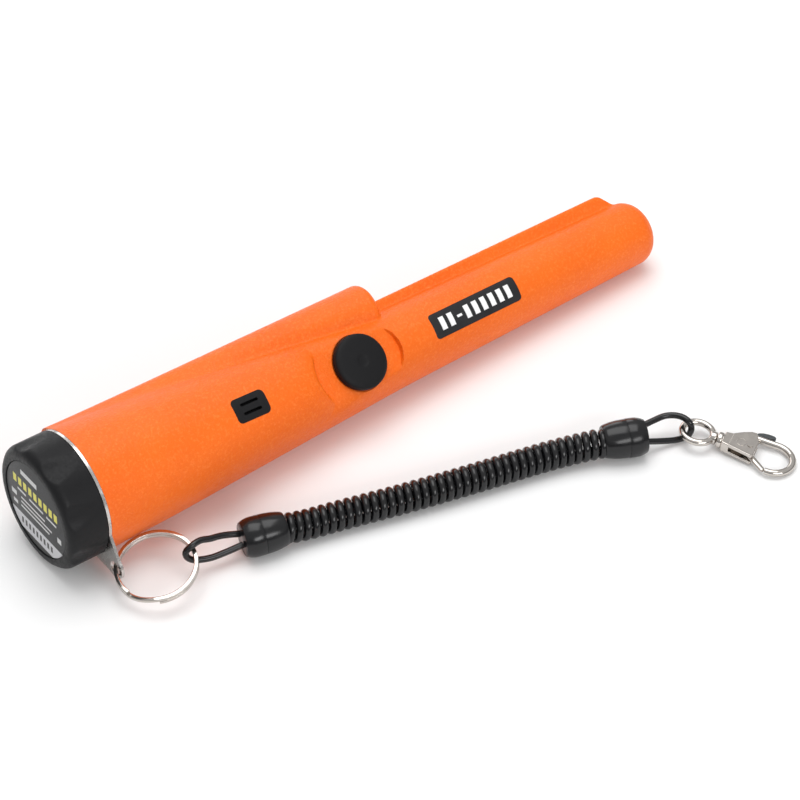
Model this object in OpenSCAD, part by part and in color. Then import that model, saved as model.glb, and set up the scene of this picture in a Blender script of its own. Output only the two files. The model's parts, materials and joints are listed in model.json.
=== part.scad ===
// Pinpointer probe with its coiled lanyard, as an assembly of separate pieces.
// The probe lies on a flat surface at z = 0, +X points to the tip and +Z points up.

/* [Probe] */
// Length from the cap's end to the nose
length = 231; // [226:1:240]
// Outside diameter of the battery cap
cap_dia = 38.8; // [38.6:0.1:40]
// Length of the battery cap
cap_len = 12.3; // [12:0.1:13.5]
// Thickness of the steel lanyard washer
washer_t = 1; // [0.8:0.1:1.2]
// Diameter of the grip where it meets the washer
grip_dia = 40.2; // [40:0.1:41]
// Where the tapered grip ends, from the cap's end
grip_end = 125; // [124:0.5:127]
// Diameter of the grip where it ends
neck_dia = 24.6; // [24.4:0.1:25.6]
// Diameter of the tip tube at its nose
tip_dia = 21.1; // [20.8:0.1:22]
// How far the tip tube's axis lies below the cap's axis
tip_drop = 3.2; // [2:0.1:4]
// Thickness of the shell's wall around the electronics
wall = 2.2; // [1.8:0.1:2.6]
// Distance from the tip tube's axis to the edge of the scraping blade
blade_height = 15.4; // [14.4:0.1:16]
// Thickness of the scraping blade
blade_t = 4; // [3:0.1:5]
// How far the lamp housing leans back from straight up, as the probe lies
hump_roll = 47; // [40:1:55]

/* [Controls] */
// Diameter of the power button
button_dia = 17.4; // [16:0.1:18]
// Where the power button sits, from the cap's end
button_x = 109.5; // [108:0.5:111]
// Length of the speaker grille
grille_l = 11.7; // [10:0.1:13]
// Width of the speaker grille
grille_w = 7.5; // [6:0.1:8.5]

/* [Lanyard] */
// Outside diameter of the split ring
ring_dia = 24.4; // [24:0.1:25]
// Diameter of the lanyard's cord
cord_dia = 2; // [1.8:0.1:2.2]
// Outside diameter of the coiled cord
coil_dia = 9.4; // [8.6:0.1:9.8]
// Diameter of the two cord ferrules
ferrule_dia = 12; // [11:0.1:12.4]
// Length of each cord ferrule
ferrule_l = 13.2; // [12:0.1:14]

/* [Hidden] */
$fn = 64;
eps = 0.01;
far = 60;

// Stations along the probe, measured from the cap's end
cap_r = cap_dia / 2;
washer_x = cap_len;
grip_x = cap_len + washer_t;
grip_r = grip_dia / 2;
neck_r = neck_dia / 2;
tip_r = tip_dia / 2;
nose_round = 5.9;
nose_x = length - nose_round;
grip_slope = (grip_r - neck_r) / (grip_end - grip_x);
grip_lean = atan(tip_drop / (grip_end - grip_x));
tube_x = grip_end - 5;
tube_slope = (neck_r - tip_r) / (nose_x - grip_end);

// Lamp housing, a slim cone that grows out of the grip
hump_end = 126;
hump_top_h = 18.2;
hump_end_h = 10.6;
hump_start_r = 1.6;
hump_end_r = 8.75;
hump_round = 2.6;
lamp_rise = 4;
hump_lean = atan((hump_top_h - hump_end_h) / (hump_end - grip_x));
hump_len = (hump_end - grip_x) / cos(hump_lean);

// Threaded neck, battery bay and cap
thread_r = 17.4;
bay_r = 15.5;
thread_start = 4.4;
bay_end = 59.5;
cap_floor = 3.2;
thread_fit = 0.05;
seal_x = 11;
seal_r = 0.74;
seal_groove_r = 16.85;
seal_bore_r = 18.4;
label_dia = 30.4;
label_depth = 0.8;

// Button pad, a flat cut into the grip
pad_r = 10;
pad_start = 94;
pad_end = 124.4;
pad_floor = 10.5;
pad_inner = 7.9;
button_top = 13.7;
button_gap = 0.3;
button_sink = 1.2;
stem_r = 2;

// Electronics
board_t = 1.6;
board_x0 = 60.5;
board_x1 = 120;
board_w0 = 12.6;
board_w1 = 9.6;
chassis_y = 3.6;
chassis_t = 1.5;
post_places = [[78, 9], [78, -9], [104, 0]];
bulkhead_x = 57.4;
bulkhead_t = 2;
bulkhead_angles = [35, 145, 270];
bulkhead_bolt_r = 12.6;
grille_x = 67.9;
grille_turn = 4;
grille_t = 1.4;
buzzer_r = 5.6;
buzzer_seat = 8.6;
motor_y = 8.7;

// Search coil in the tip
tip_bore_r = 8.8;
core_r = 4;
core_x0 = 150;
core_x1 = 221;

// How the probe lies: the grip's rim and the nose both touch the surface
drop_z = tip_drop * cos(hump_roll);
lay_tilt = atan((grip_r - tip_r - drop_z) / (nose_x - grip_x));
lift = grip_r * cos(lay_tilt) + grip_x * sin(lay_tilt);
mid_x = 115.19;
mid_y = -10.39;

// Washer ear and split ring
ear_roll = 123.5;
ear_tip_at = 24.6;
ear_tip_r = 4.1;
ear_hole_at = 25.2;
ear_hole_r = 2.3;
ring_at = [21, -28.7, 7];
ring_pitch = -10;
ring_roll = 6;
ring_wire = 1.3;
ring_height = 2.2;
ring_mid_r = ring_dia / 2 - ring_wire / 2;

// Cord routes, from the ferrules round the split ring and the swivel eye
loop_a_route = [
    [47.2, -33.2, 7.4], [42, -31.8, 8.8], [37.7, -31.8, 10.2], [34.6, -31.4, 11.1],
    [31.5, -31.6, 11], [29.7, -31.1, 9.2], [29.9, -31.4, 7.2], [31.8, -32.2, 5.6],
    [36.1, -33.6, 4.8], [40.7, -34.5, 4.8], [46.4, -35.5, 5.2]
];
loop_b_route = [
    [167.2, -71.6, 6.8], [169.9, -71.8, 7], [173, -72.2, 7.2], [176.6, -72.9, 7.4],
    [179, -74.6, 7.6], [180.4, -77, 7.7], [181, -79.4, 7], [181.2, -80.3, 5],
    [180.7, -80, 2.6], [179.4, -79.3, 1.6], [176.2, -78.5, 1.8], [171.5, -77, 3],
    [166.4, -75.6, 4.8]
];
coil_route = [
    [59.5, -38.3, 5.6], [66, -40.2, 4.9], [76, -43.2, 4.75], [95, -49.4, 4.75],
    [115, -55.3, 4.75], [135, -60.8, 4.75], [146, -64.4, 4.9], [155.6, -68.7, 5.6]
];
ferrule_a_at = [46.9, -34.5, 6];
ferrule_a_turn = -16.8;
ferrule_b_at = [155.6, -68.7, 6];
ferrule_b_turn = -27.1;

// Snap hook, in its own frame: +X from the swivel eye to the hook's end
hook_at = [182.2, -82.1, 4.1];
hook_turn = -61.6;
hook_pitch = 5.3;
hook_wire = 2.3;
hook_bend = [24, -0.4];
hook_bend_r = 6;
pivot_at = [16.4, 0.2];
eye_r = 4.6;
eye_wire = 2.2;
positive_route = [[55.9, 0, 3], [58.4, 0, 3.1], [60.6, -1.6, 5], [62.6, -0.8, 8]];
negative_route = [[55.9, 0, -3], [58.4, 0, -3.1], [60.6, -1.6, -5], [62.6, -0.8, -8]];
lead_turn = 40;
coil_lead_route = [[119, -0.8, 1], [130, -1.5, -1.2], [140, -2.5, -3.2], [152, -5.9, -3.2]];
coil_lead_route_2 = [[119, -0.8, -1.4], [130, -1.5, -3.6], [140, -2.5, -5.4], [152, -4.6, -7]];

// ---------- frames ----------

module bench() {
    translate([-mid_x, -mid_y, 0]) children();
}

// The probe's own frame: X along the cap's axis, +Z to the lamp housing, -Y to the button
module probe() {
    bench() translate([0, 0, lift]) rotate([0, lay_tilt, 0]) rotate([-hump_roll, 0, 0]) children();
}

module grip_frame() {
    translate([grip_x, 0, 0]) rotate([0, grip_lean, 0]) translate([-grip_x, 0, 0]) children();
}

module tube_frame() {
    translate([0, 0, -tip_drop]) children();
}

module hump_frame() {
    translate([hump_end, 0, hump_end_h]) rotate([0, hump_lean, 0]) children();
}

module lamp_frame() {
    hump_frame() translate([0, 0, lamp_rise]) children();
}

// Turns a shape drawn along +Z so that it points out of the button side
module to_button() {
    rotate([90, 0, 0]) children();
}

module hook_frame() {
    bench() translate(hook_at) rotate([0, 0, hook_turn]) rotate([0, hook_pitch, 0]) children();
}

// ---------- shapes ----------

module rod_x(x0, x1, r0, r1 = undef) {
    translate([x0, 0, 0]) rotate([0, 90, 0])
        cylinder(h = x1 - x0, r1 = r0, r2 = is_undef(r1) ? r0 : r1);
}

module ring_x(x0, x1, r_out, r_in) {
    difference() {
        rod_x(x0, x1, r_out);
        rod_x(x0 - 1, x1 + 1, r_in);
    }
}

module torus_x(x, r_mid, r) {
    translate([x, 0, 0]) rotate([0, 90, 0]) rotate_extrude() translate([r_mid, 0]) circle(r = r);
}

module rounded_rect(l, w, r) {
    square([l - 2 * r, w], center = true);
    square([l, w - 2 * r], center = true);
    for (sx = [-1, 1]) {
        for (sy = [-1, 1]) {
            translate([sx * (l / 2 - r), sy * (w / 2 - r)]) circle(r = r);
        }
    }
}

module slot_2d(x0, x1, r) {
    translate([x0 + r, 0]) circle(r = r);
    translate([x1 - r, 0]) circle(r = r);
    translate([x0 + r, -r]) square([x1 - x0 - 2 * r, 2 * r]);
}

// A point and its tangent on a smooth curve through the route's points
function route_end(p, i) = p[max(0, min(len(p) - 1, i))];
function curve_at(p, i, t) = 0.5 * (
    2 * route_end(p, i)
    + (route_end(p, i + 1) - route_end(p, i - 1)) * t
    + (2 * route_end(p, i - 1) - 5 * route_end(p, i) + 4 * route_end(p, i + 1)
        - route_end(p, i + 2)) * t * t
    + (3 * route_end(p, i) - route_end(p, i - 1) - 3 * route_end(p, i + 1)
        + route_end(p, i + 2)) * t * t * t
);
function smooth_route(p, steps) = [
    for (i = [0 : len(p) - 2]) each [for (k = [0 : steps - 1]) curve_at(p, i, k / steps)],
    p[len(p) - 1]
];
function unit(v) = v / norm(v);
function tangents(p) = [
    for (i = [0 : len(p) - 1]) unit(route_end(p, i + 1) - route_end(p, i - 1))
];
function carry(n, t) = unit(n - (n * t) * t);
function normals(t, n, i = 0) = i == len(t) ? []
    : let (m = carry(n, t[i])) concat([m], normals(t, m, i + 1));

// A round tube swept along a list of points, with its ends closed
module swept_tube(p, r, sides) {
    t = tangents(p);
    n = normals(t, [0.1, 0.2, 1]);
    pts = [
        for (i = [0 : len(p) - 1])
            each [
                for (k = [0 : sides - 1])
                    let (a = 360 * k / sides)
                    p[i] + r * (cos(a) * n[i] + sin(a) * cross(t[i], n[i]))
            ]
    ];
    sides_faces = [
        for (i = [0 : len(p) - 2])
            each [
                for (k = [0 : sides - 1])
                    [i * sides + k, (i + 1) * sides + k,
                        (i + 1) * sides + (k + 1) % sides, i * sides + (k + 1) % sides]
            ]
    ];
    caps = [
        [for (k = [0 : sides - 1]) k],
        [for (k = [sides - 1 : -1 : 0]) (len(p) - 1) * sides + k]
    ];
    polyhedron(points = pts, faces = concat(sides_faces, caps), convexity = 10);
}

module rod_x_at(x0, x1, r, y, z) {
    translate([0, y, z]) rod_x(x0, x1, r);
}

// ---------- probe body ----------

module grip_solid(inset = 0, x0 = grip_x - 2, x1 = grip_end + 3) {
    grip_frame()
        rod_x(x0, x1, grip_r - grip_slope * (x0 - grip_x) - inset,
            grip_r - grip_slope * (x1 - grip_x) - inset);
}

// The tip tube and its rounded nose, drawn as a turned profile
module tube_solid(inset = 0) {
    corner_r = tip_r - nose_round;
    back_r = neck_r + tube_slope * (grip_end - tube_x);
    tube_frame() rotate([0, 90, 0]) rotate_extrude() {
        polygon([
            [0, tube_x], [back_r - inset, tube_x], [tip_r - inset, nose_x], [0, nose_x]
        ]);
        translate([0, nose_x - eps]) square([corner_r, nose_round - inset + eps]);
        intersection() {
            translate([corner_r, nose_x]) circle(r = nose_round - inset);
            translate([0, nose_x - eps]) square([tip_r, nose_round]);
        }
    }
}

module hump_solid() {
    hump_frame() rotate([180, 0, 0]) rotate([0, 90, 0]) rotate_extrude() {
        polygon([
            [0, -hump_len], [hump_start_r, -hump_len], [hump_end_r, -hump_round],
            [0, -hump_round]
        ]);
        translate([0, -hump_round - eps]) square([hump_end_r - hump_round, hump_round + eps]);
        intersection() {
            translate([hump_end_r - hump_round, -hump_round]) circle(r = hump_round);
            translate([0, -hump_round - eps]) square([hump_end_r, hump_round + eps]);
        }
    }
}

// Scraping blade: a rib along the tube that ends in a rounded corner and a slope
module blade_solid() {
    end_r = 3.5;
    end_x = 219;
    end_turn = 50;
    top = blade_height;
    end_at = [end_x + end_r * sin(end_turn), top - end_r * (1 - cos(end_turn))];
    tube_frame() translate([0, blade_t / 2, 0]) rotate([90, 0, 0]) linear_extrude(blade_t) {
        polygon([
            [tube_x, 4], [tube_x, top], [end_x, top], end_at,
            end_at + 6 * [cos(end_turn), -sin(end_turn)], [nose_x - 3, 4]
        ]);
        translate([end_x, top - end_r]) circle(r = end_r);
    }
}

module pad_2d(r) {
    slot_2d(pad_start, pad_end, r);
}

module pad_cut() {
    grip_frame() to_button() translate([0, 0, pad_floor])
        linear_extrude(far) pad_2d(pad_r);
}

module pad_boss() {
    grip_frame() to_button() translate([0, 0, pad_inner])
        linear_extrude(far) slot_2d(pad_start - 2, pad_end + 2, pad_r + 2);
}

module button_hole() {
    grip_frame() translate([button_x, 0, 0]) to_button() {
        translate([0, 0, pad_floor - button_sink])
            cylinder(h = far, r = button_dia / 2 + button_gap);
        cylinder(h = far, r = stem_r + button_gap);
        translate([0, 0, pad_inner + 0.4]) cylinder(h = 0.8, r = 3);
    }
}

module grille_turned() {
    grip_frame() translate([grille_x, 0, 0]) rotate([-grille_turn, 0, 0]) to_button() children();
}

module grille_hole() {
    difference() {
        grille_turned() linear_extrude(far) rounded_rect(grille_l + 0.1, grille_w + 0.1, 1.6);
        grip_solid(grille_t + 0.05);
    }
    grille_turned() linear_extrude(far) rounded_rect(grille_l - 3, grille_w - 2.6, 1.2);
}

label_l = 34.2;
label_w = 8;
label_x = 154.4;
label_t = 0.5;

module side_label_block(gap) {
    tube_frame() translate([label_x, 0, 0]) to_button()
        linear_extrude(far) rounded_rect(label_l + 2 * gap, label_w + 2 * gap, 1.2);
}

module inner_space() {
    rod_x(0, grip_x + 1, bay_r + 0.25);
    grip_frame() rod_x(grip_x - 1, bay_end, bay_r);
    difference() {
        grip_solid(wall, bay_end - 0.5, grip_end - 1.5);
        pad_boss();
        bulkhead_bosses();
    }
    tube_frame() rod_x(grip_end - 8, core_x1 + 1.5, tip_bore_r);
    hump_frame() rod_x(-40, -12, 5);
    lamp_frame() rod_x(-16, -9, 2.5);
    lamp_frame() rod_x(-10, 1, 1.6);
    lamp_frame() rod_x(-1.2, 1, 2.25);
}

module bulkhead_places() {
    for (a = bulkhead_angles) {
        rotate([a, 0, 0]) translate([0, 0, bulkhead_bolt_r]) children();
    }
}

module bulkhead_bosses() {
    grip_frame() bulkhead_places() difference() {
        rod_x(bay_end, 66, 2.2);
        rod_x(bay_end - 1, 65, 1.02);
    }
}

module probe_shell() {
    color("darkorange") probe() {
        difference() {
            union() {
                difference() {
                    union() {
                        grip_solid();
                        hump_solid();
                    }
                    translate([grip_x - far, -far / 2, -far / 2]) cube([far, far, far]);
                }
                tube_solid();
                blade_solid();
                rod_x(thread_start, grip_x + 1, thread_r);
            }
            inner_space();
            pad_cut();
            button_hole();
            grille_hole();
            difference() {
                side_label_block(0.05);
                tube_solid(label_t);
            }
            ring_x(seal_x - 0.8, seal_x + 0.8, far, seal_groove_r);
        }
    }
}

// ---------- cap end ----------

module battery_cap() {
    round_r = 3;
    flutes = 8;
    flute_r = 13;
    flute_bite = 0.9;
    color("dimgray") probe() difference() {
        rotate([0, 90, 0]) rotate_extrude() {
            translate([0, 0]) square([cap_r - round_r, cap_len]);
            translate([0, round_r]) square([cap_r, cap_len - round_r]);
            translate([cap_r - round_r, round_r]) circle(r = round_r);
        }
        rod_x(cap_floor, cap_len + 1, thread_r + thread_fit);
        rod_x(seal_x - 1, cap_len + 1, seal_bore_r);
        rod_x(-1, label_depth, label_dia / 2 + 0.2);
        for (i = [0 : flutes - 1]) {
            rotate([360 * (i + 0.5) / flutes, 0, 0])
                translate([0, 0, cap_r + flute_r - flute_bite]) rotate([0, -8, 0])
                    rod_x(-4, cap_len - 3, flute_r);
        }
    }
}

module cap_label() {
    color("darkslategray") probe() rod_x(0.25, label_depth - eps, label_dia / 2);
}

module cap_pad() {
    color("slategray") probe() rod_x(cap_floor + 0.05, 4.2, 14.4);
}

module cap_seal() {
    color("black") probe() torus_x(seal_x, seal_groove_r + 0.02 + seal_r, seal_r);
}

module lanyard_washer() {
    color("silver") bench() translate([0, 0, lift]) rotate([0, lay_tilt, 0])
        rotate([ear_roll, 0, 0]) translate([washer_x, 0, 0]) rotate([90, 0, 90])
            translate([0, 0, 0.05]) linear_extrude(washer_t - 0.1) difference() {
                union() {
                    circle(r = cap_r);
                    polygon([[-8.6, 17], [8.6, 17], [ear_tip_r, ear_tip_at], [-ear_tip_r, ear_tip_at]]);
                    translate([0, ear_tip_at]) circle(r = ear_tip_r);
                }
                circle(r = thread_r + 0.25);
                translate([0, ear_hole_at]) circle(r = ear_hole_r);
            }
}

module side_label() {
    color("black") probe() intersection() {
        side_label_block(0);
        difference() {
            tube_solid(0.05);
            tube_solid(label_t - 0.03);
        }
    }
}

// ---------- button, speaker and lamp ----------

module power_button() {
    r = button_dia / 2;
    edge_r = 1.2;
    color("black") probe() grip_frame() translate([button_x, 0, 0]) to_button() rotate_extrude() {
        translate([0, pad_floor - 0.1]) square([r, button_top - edge_r - pad_floor + 0.1]);
        translate([0, pad_floor]) square([r - edge_r, button_top - pad_floor]);
        translate([r - edge_r, button_top - edge_r]) circle(r = edge_r);
        translate([0, 6.6]) square([stem_r, 5]);
    }
}

module button_clip() {
    color("silver") probe() grip_frame() translate([button_x, 0, 0]) to_button()
        translate([0, 0, pad_inner - 0.7]) difference() {
            cylinder(h = 0.6, r = 3.6);
            translate([0, 0, -1]) cylinder(h = 3, r = stem_r + eps);
        }
}

module button_seal() {
    color("black") probe() grip_frame() translate([button_x, 0, 0]) to_button()
        translate([0, 0, pad_inner + 0.8]) rotate_extrude() translate([2.5, 0]) circle(r = 0.38);
}

module speaker_grille() {
    color("black") probe() difference() {
        intersection() {
            grille_turned() linear_extrude(far) rounded_rect(grille_l, grille_w, 1.5);
            grip_solid(-0.05);
        }
        grip_solid(grille_t);
        grille_turned() for (s = [-1, 1]) {
            translate([0, s * 1.4, 0]) linear_extrude(far) slot_2d(-3.2, 3.2, 0.45);
        }
    }
}

module grille_membrane() {
    color("gainsboro") probe() grille_turned() translate([0, 0, 12.6]) cylinder(h = 0.2, r = 4.6);
}

module buzzer() {
    color("black") probe() grille_turned() difference() {
        translate([0, 0, buzzer_seat]) cylinder(h = 3.4, r = buzzer_r);
        translate([0, 0, buzzer_seat + 2.6]) cylinder(h = 3, r = 1);
    }
}

module buzzer_mount() {
    color("ivory") probe() difference() {
        grille_turned() difference() {
            translate([0, 0, -1]) cylinder(h = 11.6, r = buzzer_r + 1);
            translate([0, 0, -2]) cylinder(h = 12, r = buzzer_r - 0.6);
            translate([0, 0, buzzer_seat - 0.05]) cylinder(h = 4, r = buzzer_r + 0.05);
        }
        grip_frame() translate([0, -0.05, -far / 2]) cube([200, far, far]);
    }
}

module led_lens() {
    color([0.9, 0.95, 1, 0.5]) probe() lamp_frame() rod_x(-1.1, -0.05, 2.2);
}

module led() {
    color("white") probe() lamp_frame() {
        rod_x(-9.9, -9.05, 2.2);
        rod_x(-9.1, -3.8, 1.5);
        translate([-3.8, 0, 0]) sphere(r = 1.5);
    }
}

module led_leads() {
    lead_x = -16;
    color("silver") probe() lamp_frame() for (y = [-0.32, 1.92]) {
        translate([0, y, 0]) rod_x(lead_x, -9.95, 0.28);
        translate([lead_x, y, -8]) cylinder(h = 8.28, r = 0.28);
    }
}

// ---------- electronics ----------

module board_outline(grow = 0) {
    polygon([
        [board_x0, -board_w0 - grow], [board_x1, -board_w1 - grow],
        [board_x1, board_w1 + grow], [board_x0, board_w0 + grow]
    ]);
}

module main_board() {
    color("darkgreen") probe() grip_frame() translate([0, board_t, 0]) rotate([90, 0, 0])
        linear_extrude(board_t - 0.02) difference() {
            board_outline();
            for (p = post_places) {
                translate(p) circle(r = 1.15);
            }
        }
}

module board_chips() {
    color([0.15, 0.15, 0.16]) probe() grip_frame() {
        translate([84, -1.05, -3.5]) cube([7, 1, 7]);
        translate([94, -1.55, 2.5]) cube([5, 1.5, 4]);
        translate([94, -1.55, -6.5]) cube([5, 1.5, 4]);
        translate([114, -1.35, -2]) cube([4, 1.3, 3]);
    }
}

module board_capacitors() {
    color("steelblue") probe() grip_frame() for (p = [[87, 7.2], [87, -7.2], [79.5, 4.4]]) {
        translate([p[0], -0.05, p[1]]) to_button() cylinder(h = 5.4, r = 2);
    }
}

module switch_body() {
    color("dimgray") probe() grip_frame() difference() {
        translate([button_x - 3, -3.5, -3]) cube([6, 3.45, 6]);
        translate([button_x, -1.2, 0]) to_button() cylinder(h = 4, r = 1.75);
    }
}

module switch_plunger() {
    color("ivory") probe() grip_frame() translate([button_x, -2.6, 0]) to_button()
        cylinder(h = 3.9, r = 1.7);
}

module chassis() {
    color("lightgray") probe() grip_frame() difference() {
        union() {
            translate([0, chassis_y + chassis_t, 0]) rotate([90, 0, 0])
                linear_extrude(chassis_t) board_outline(-1.2);
            for (p = post_places) {
                translate([p[0], chassis_y + eps, p[1]]) to_button()
                    cylinder(h = chassis_y - board_t - 0.02, r = 2.2);
            }
        }
        for (p = post_places) {
            translate([p[0], chassis_y + chassis_t + 1, p[1]]) to_button() cylinder(h = 8, r = 1.02);
        }
    }
}

module screw_z(head_r, head_h, shank_r, shank_l) {
    cylinder(h = head_h, r = head_r);
    translate([0, 0, -shank_l]) cylinder(h = shank_l + eps, r = shank_r);
}

module board_screws() {
    color("silver") probe() grip_frame() for (p = post_places) {
        translate([p[0], -0.02, p[1]]) to_button() screw_z(1.9, 1.2, 1, 4.6);
    }
}

module bulkhead() {
    color("lightgray") probe() grip_frame() difference() {
        rod_x(bulkhead_x, bulkhead_x + bulkhead_t, bay_r - 0.15);
        translate([bulkhead_x - 1, -2, -4.5]) cube([4, 4, 9]);
        bulkhead_places() rod_x(bulkhead_x - 1, bay_end + 1, 1.15);
    }
}

module bulkhead_screws() {
    color("silver") probe() grip_frame() bulkhead_places() {
        rod_x(bulkhead_x - 1.1, bulkhead_x - eps, 1.9);
        rod_x(bulkhead_x - 0.5, 64, 1);
    }
}

// ---------- battery ----------

battery_x0 = 4.75;
battery_l = 46.4;

module battery() {
    color("darkkhaki") probe() grip_frame() translate([battery_x0, 0, 0]) rotate([90, 0, 90])
        linear_extrude(battery_l) rounded_rect(17.5, 26.5, 2);
}

module battery_studs() {
    color("silver") probe() grip_frame() {
        rod_x_at(battery_x0 + battery_l, battery_x0 + battery_l + 2.1, 2.9, 0, 6.35);
        rod_x_at(battery_x0 + battery_l, battery_x0 + battery_l + 2.1, 3.8, 0, -6.35);
    }
}

module battery_snap() {
    x0 = battery_x0 + battery_l + 0.1;
    color("black") probe() grip_frame() difference() {
        translate([x0, 0, 0]) rotate([90, 0, 90]) linear_extrude(4.4) rounded_rect(12.5, 25, 2);
        rod_x_at(x0 - 1, x0 + 2.2, 3, 0, 6.35);
        rod_x_at(x0 - 1, x0 + 2.2, 3.9, 0, -6.35);
    }
}

module positive_lead() {
    color("firebrick") probe() grip_frame()
        swept_tube(smooth_route(positive_route, 3), 0.7, 8);
}

module negative_lead() {
    color([0.1, 0.1, 0.1]) probe() grip_frame()
        swept_tube(smooth_route(negative_route, 3), 0.7, 8);
}

// ---------- vibration motor ----------

module motor_can() {
    color("silver") probe() grip_frame() difference() {
        rod_x_at(70, 81, 3.5, motor_y, 0);
        rod_x_at(78.4, 82, 0.55, motor_y, 0);
    }
}

module motor_weight() {
    color("dimgray") probe() grip_frame() {
        rod_x_at(78.6, 85.6, 0.5, motor_y, 0);
        difference() {
            rod_x_at(81.6, 85.4, 2.9, motor_y, 0);
            translate([81, motor_y - 4, -8]) cube([6, 8, 7.6]);
        }
    }
}

module motor_clip() {
    color("lightgray") probe() grip_frame() difference() {
        translate([73, chassis_y + chassis_t + 0.02, -4.6]) cube([4, 4.4, 9.2]);
        rod_x_at(72, 78, 3.52, motor_y, 0);
    }
}

// ---------- search coil ----------

module ferrite_core() {
    color([0.2, 0.2, 0.22]) probe() tube_frame() rod_x(core_x0, core_x1, core_r);
}

module coil_former() {
    color("ivory") probe() tube_frame() difference() {
        union() {
            rod_x(core_x0 + 1, core_x1, 5.2);
            for (x = [core_x0 + 1, 182, core_x1 - 1.5]) {
                rod_x(x, x + 1.5, 8.5);
            }
        }
        rod_x(core_x0 - 1, core_x1 + 1, core_r + 0.05);
        for (a = [0, lead_turn]) {
            rotate([a, 0, 0]) translate([core_x0, -9, -1.2]) cube([3, 3.7, 2.4]);
        }
    }
}

module transmit_coil() {
    color("chocolate") probe() tube_frame() ring_x(core_x0 + 2.6, 181.9, 7.2, 5.25);
}

module receive_coil() {
    color("peru") probe() tube_frame() ring_x(183.6, core_x1 - 1.6, 8, 5.25);
}

module coil_leads() {
    color("saddlebrown") probe() {
        swept_tube(smooth_route(coil_lead_route, 3), 0.35, 8);
        swept_tube(smooth_route(coil_lead_route_2, 3), 0.35, 8);
    }
}

// ---------- lanyard ----------

module split_ring() {
    color("silver") bench() translate(ring_at) rotate([ring_roll, ring_pitch, 0])
        rotate_extrude() translate([ring_mid_r, 0])
            rounded_rect(ring_wire, ring_height, 0.5);
}

module lanyard_loop_a() {
    color("black") bench() swept_tube(smooth_route(loop_a_route, 2), cord_dia / 2, 8);
}

module ferrule(at, turn) {
    r = ferrule_dia / 2;
    end_r = r - 0.9;
    color("black") bench() translate(at) rotate([0, 0, turn]) rotate([0, 90, 0])
        rotate_extrude() polygon([
            [0, 0], [end_r, 0], [r, 2.4], [r, ferrule_l - 3], [end_r, ferrule_l], [0, ferrule_l]
        ]);
}

module ferrule_a() {
    ferrule(ferrule_a_at, ferrule_a_turn);
}

module lanyard_coil() {
    color("black") bench() swept_tube(smooth_route(coil_route, 2), coil_dia / 2, 12);
}

module ferrule_b() {
    ferrule(ferrule_b_at, ferrule_b_turn);
}

module lanyard_loop_b() {
    color("black") bench() swept_tube(smooth_route(loop_b_route, 2), cord_dia / 2, 8);
}

module swivel_eye() {
    color("silver") hook_frame() {
        difference() {
            rotate_extrude() translate([eye_r, 0]) circle(r = eye_wire / 2);
            translate([5.2, -3, -3]) cube([4, 6, 6]);
        }
        translate([3.9, -2.4, -1.4]) cube([1.9, 4.8, 2.8]);
        rod_x(5, 9.6, 1.1);
        rod_x(8.6, 9.6, 1.8);
    }
}

module hook_arc(a0, a1) {
    translate(hook_bend) rotate([0, 0, a0]) rotate_extrude(angle = a1 - a0)
        translate([hook_bend_r, 0]) circle(r = hook_wire / 2);
}

module hook_body() {
    color("silver") hook_frame() difference() {
        union() {
            rod_x(6.4, 8.2, 2.5);
            translate([8, 0, -1.9]) linear_extrude(3.8) polygon([
                [0, -2.6], [10.4, -4.4], [10.4, 4], [10, 6.4], [7, 5.4], [0, 2.6]
            ]);
            hook_arc(-90, 90);
            translate([0, hook_bend.y + hook_bend_r, 0]) rod_x(16.5, hook_bend.x, hook_wire / 2);
        }
        rod_x(6, 8.3, 1.15);
        translate([8.2, -2, -3]) cube([1.8, 4, 6]);
        translate([11.4, -9, -0.8]) cube([8, 12.6, 1.6]);
        translate([12.2, 3, -0.8]) cube([4.6, 6, 1.6]);
        translate([pivot_at.x, pivot_at.y, -3]) cylinder(h = 6, r = 0.95);
        translate([pivot_at.x, pivot_at.y, -1.2]) cylinder(h = 2.4, r = 2.2);
    }
}

module hook_gate() {
    color("gainsboro") hook_frame() difference() {
        translate([pivot_at.x, pivot_at.y, -0.65]) linear_extrude(1.3) {
            circle(r = 1.9);
            polygon([[-1.2, -1.6], [0.4, -3.6], [6, -7.2], [6.8, -5.2], [1.9, -1.6], [1.2, 1.4]]);
            polygon([[-1.2, 1], [0.2, 1], [0.1, 7], [3.2, 7.2], [3, 8.6], [-1.6, 8.4]]);
        }
        translate([pivot_at.x, pivot_at.y, -2]) cylinder(h = 4, r = 0.98);
    }
}

module gate_pin() {
    color("silver") hook_frame() translate([pivot_at.x, pivot_at.y, -2.1])
        cylinder(h = 4.2, r = 0.93);
}

module gate_spring() {
    color("gray") hook_frame() translate([pivot_at.x, pivot_at.y, 0.93])
        rotate_extrude() translate([1.5, 0]) circle(r = 0.2);
}

probe_shell();
battery_cap();
cap_label();
cap_pad();
cap_seal();
lanyard_washer();
side_label();
power_button();
button_clip();
button_seal();
speaker_grille();
grille_membrane();
buzzer();
buzzer_mount();
led_lens();
led();
led_leads();
main_board();
board_chips();
board_capacitors();
switch_body();
switch_plunger();
chassis();
board_screws();
bulkhead();
bulkhead_screws();
battery();
battery_studs();
battery_snap();
positive_lead();
negative_lead();
motor_can();
motor_weight();
motor_clip();
ferrite_core();
coil_former();
transmit_coil();
receive_coil();
coil_leads();
split_ring();
lanyard_loop_a();
ferrule_a();
lanyard_coil();
ferrule_b();
lanyard_loop_b();
swivel_eye();
hook_body();
hook_gate();
gate_pin();
gate_spring();
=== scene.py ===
"""Looks of the pinpointer probe and its coiled lanyard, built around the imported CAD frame.

Shapes are made in millimetres in the probe's own frame (X along the cap's axis, +Z to the
lamp housing, -Y to the button) and placed in the row frame, in metres.
"""

import math

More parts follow.
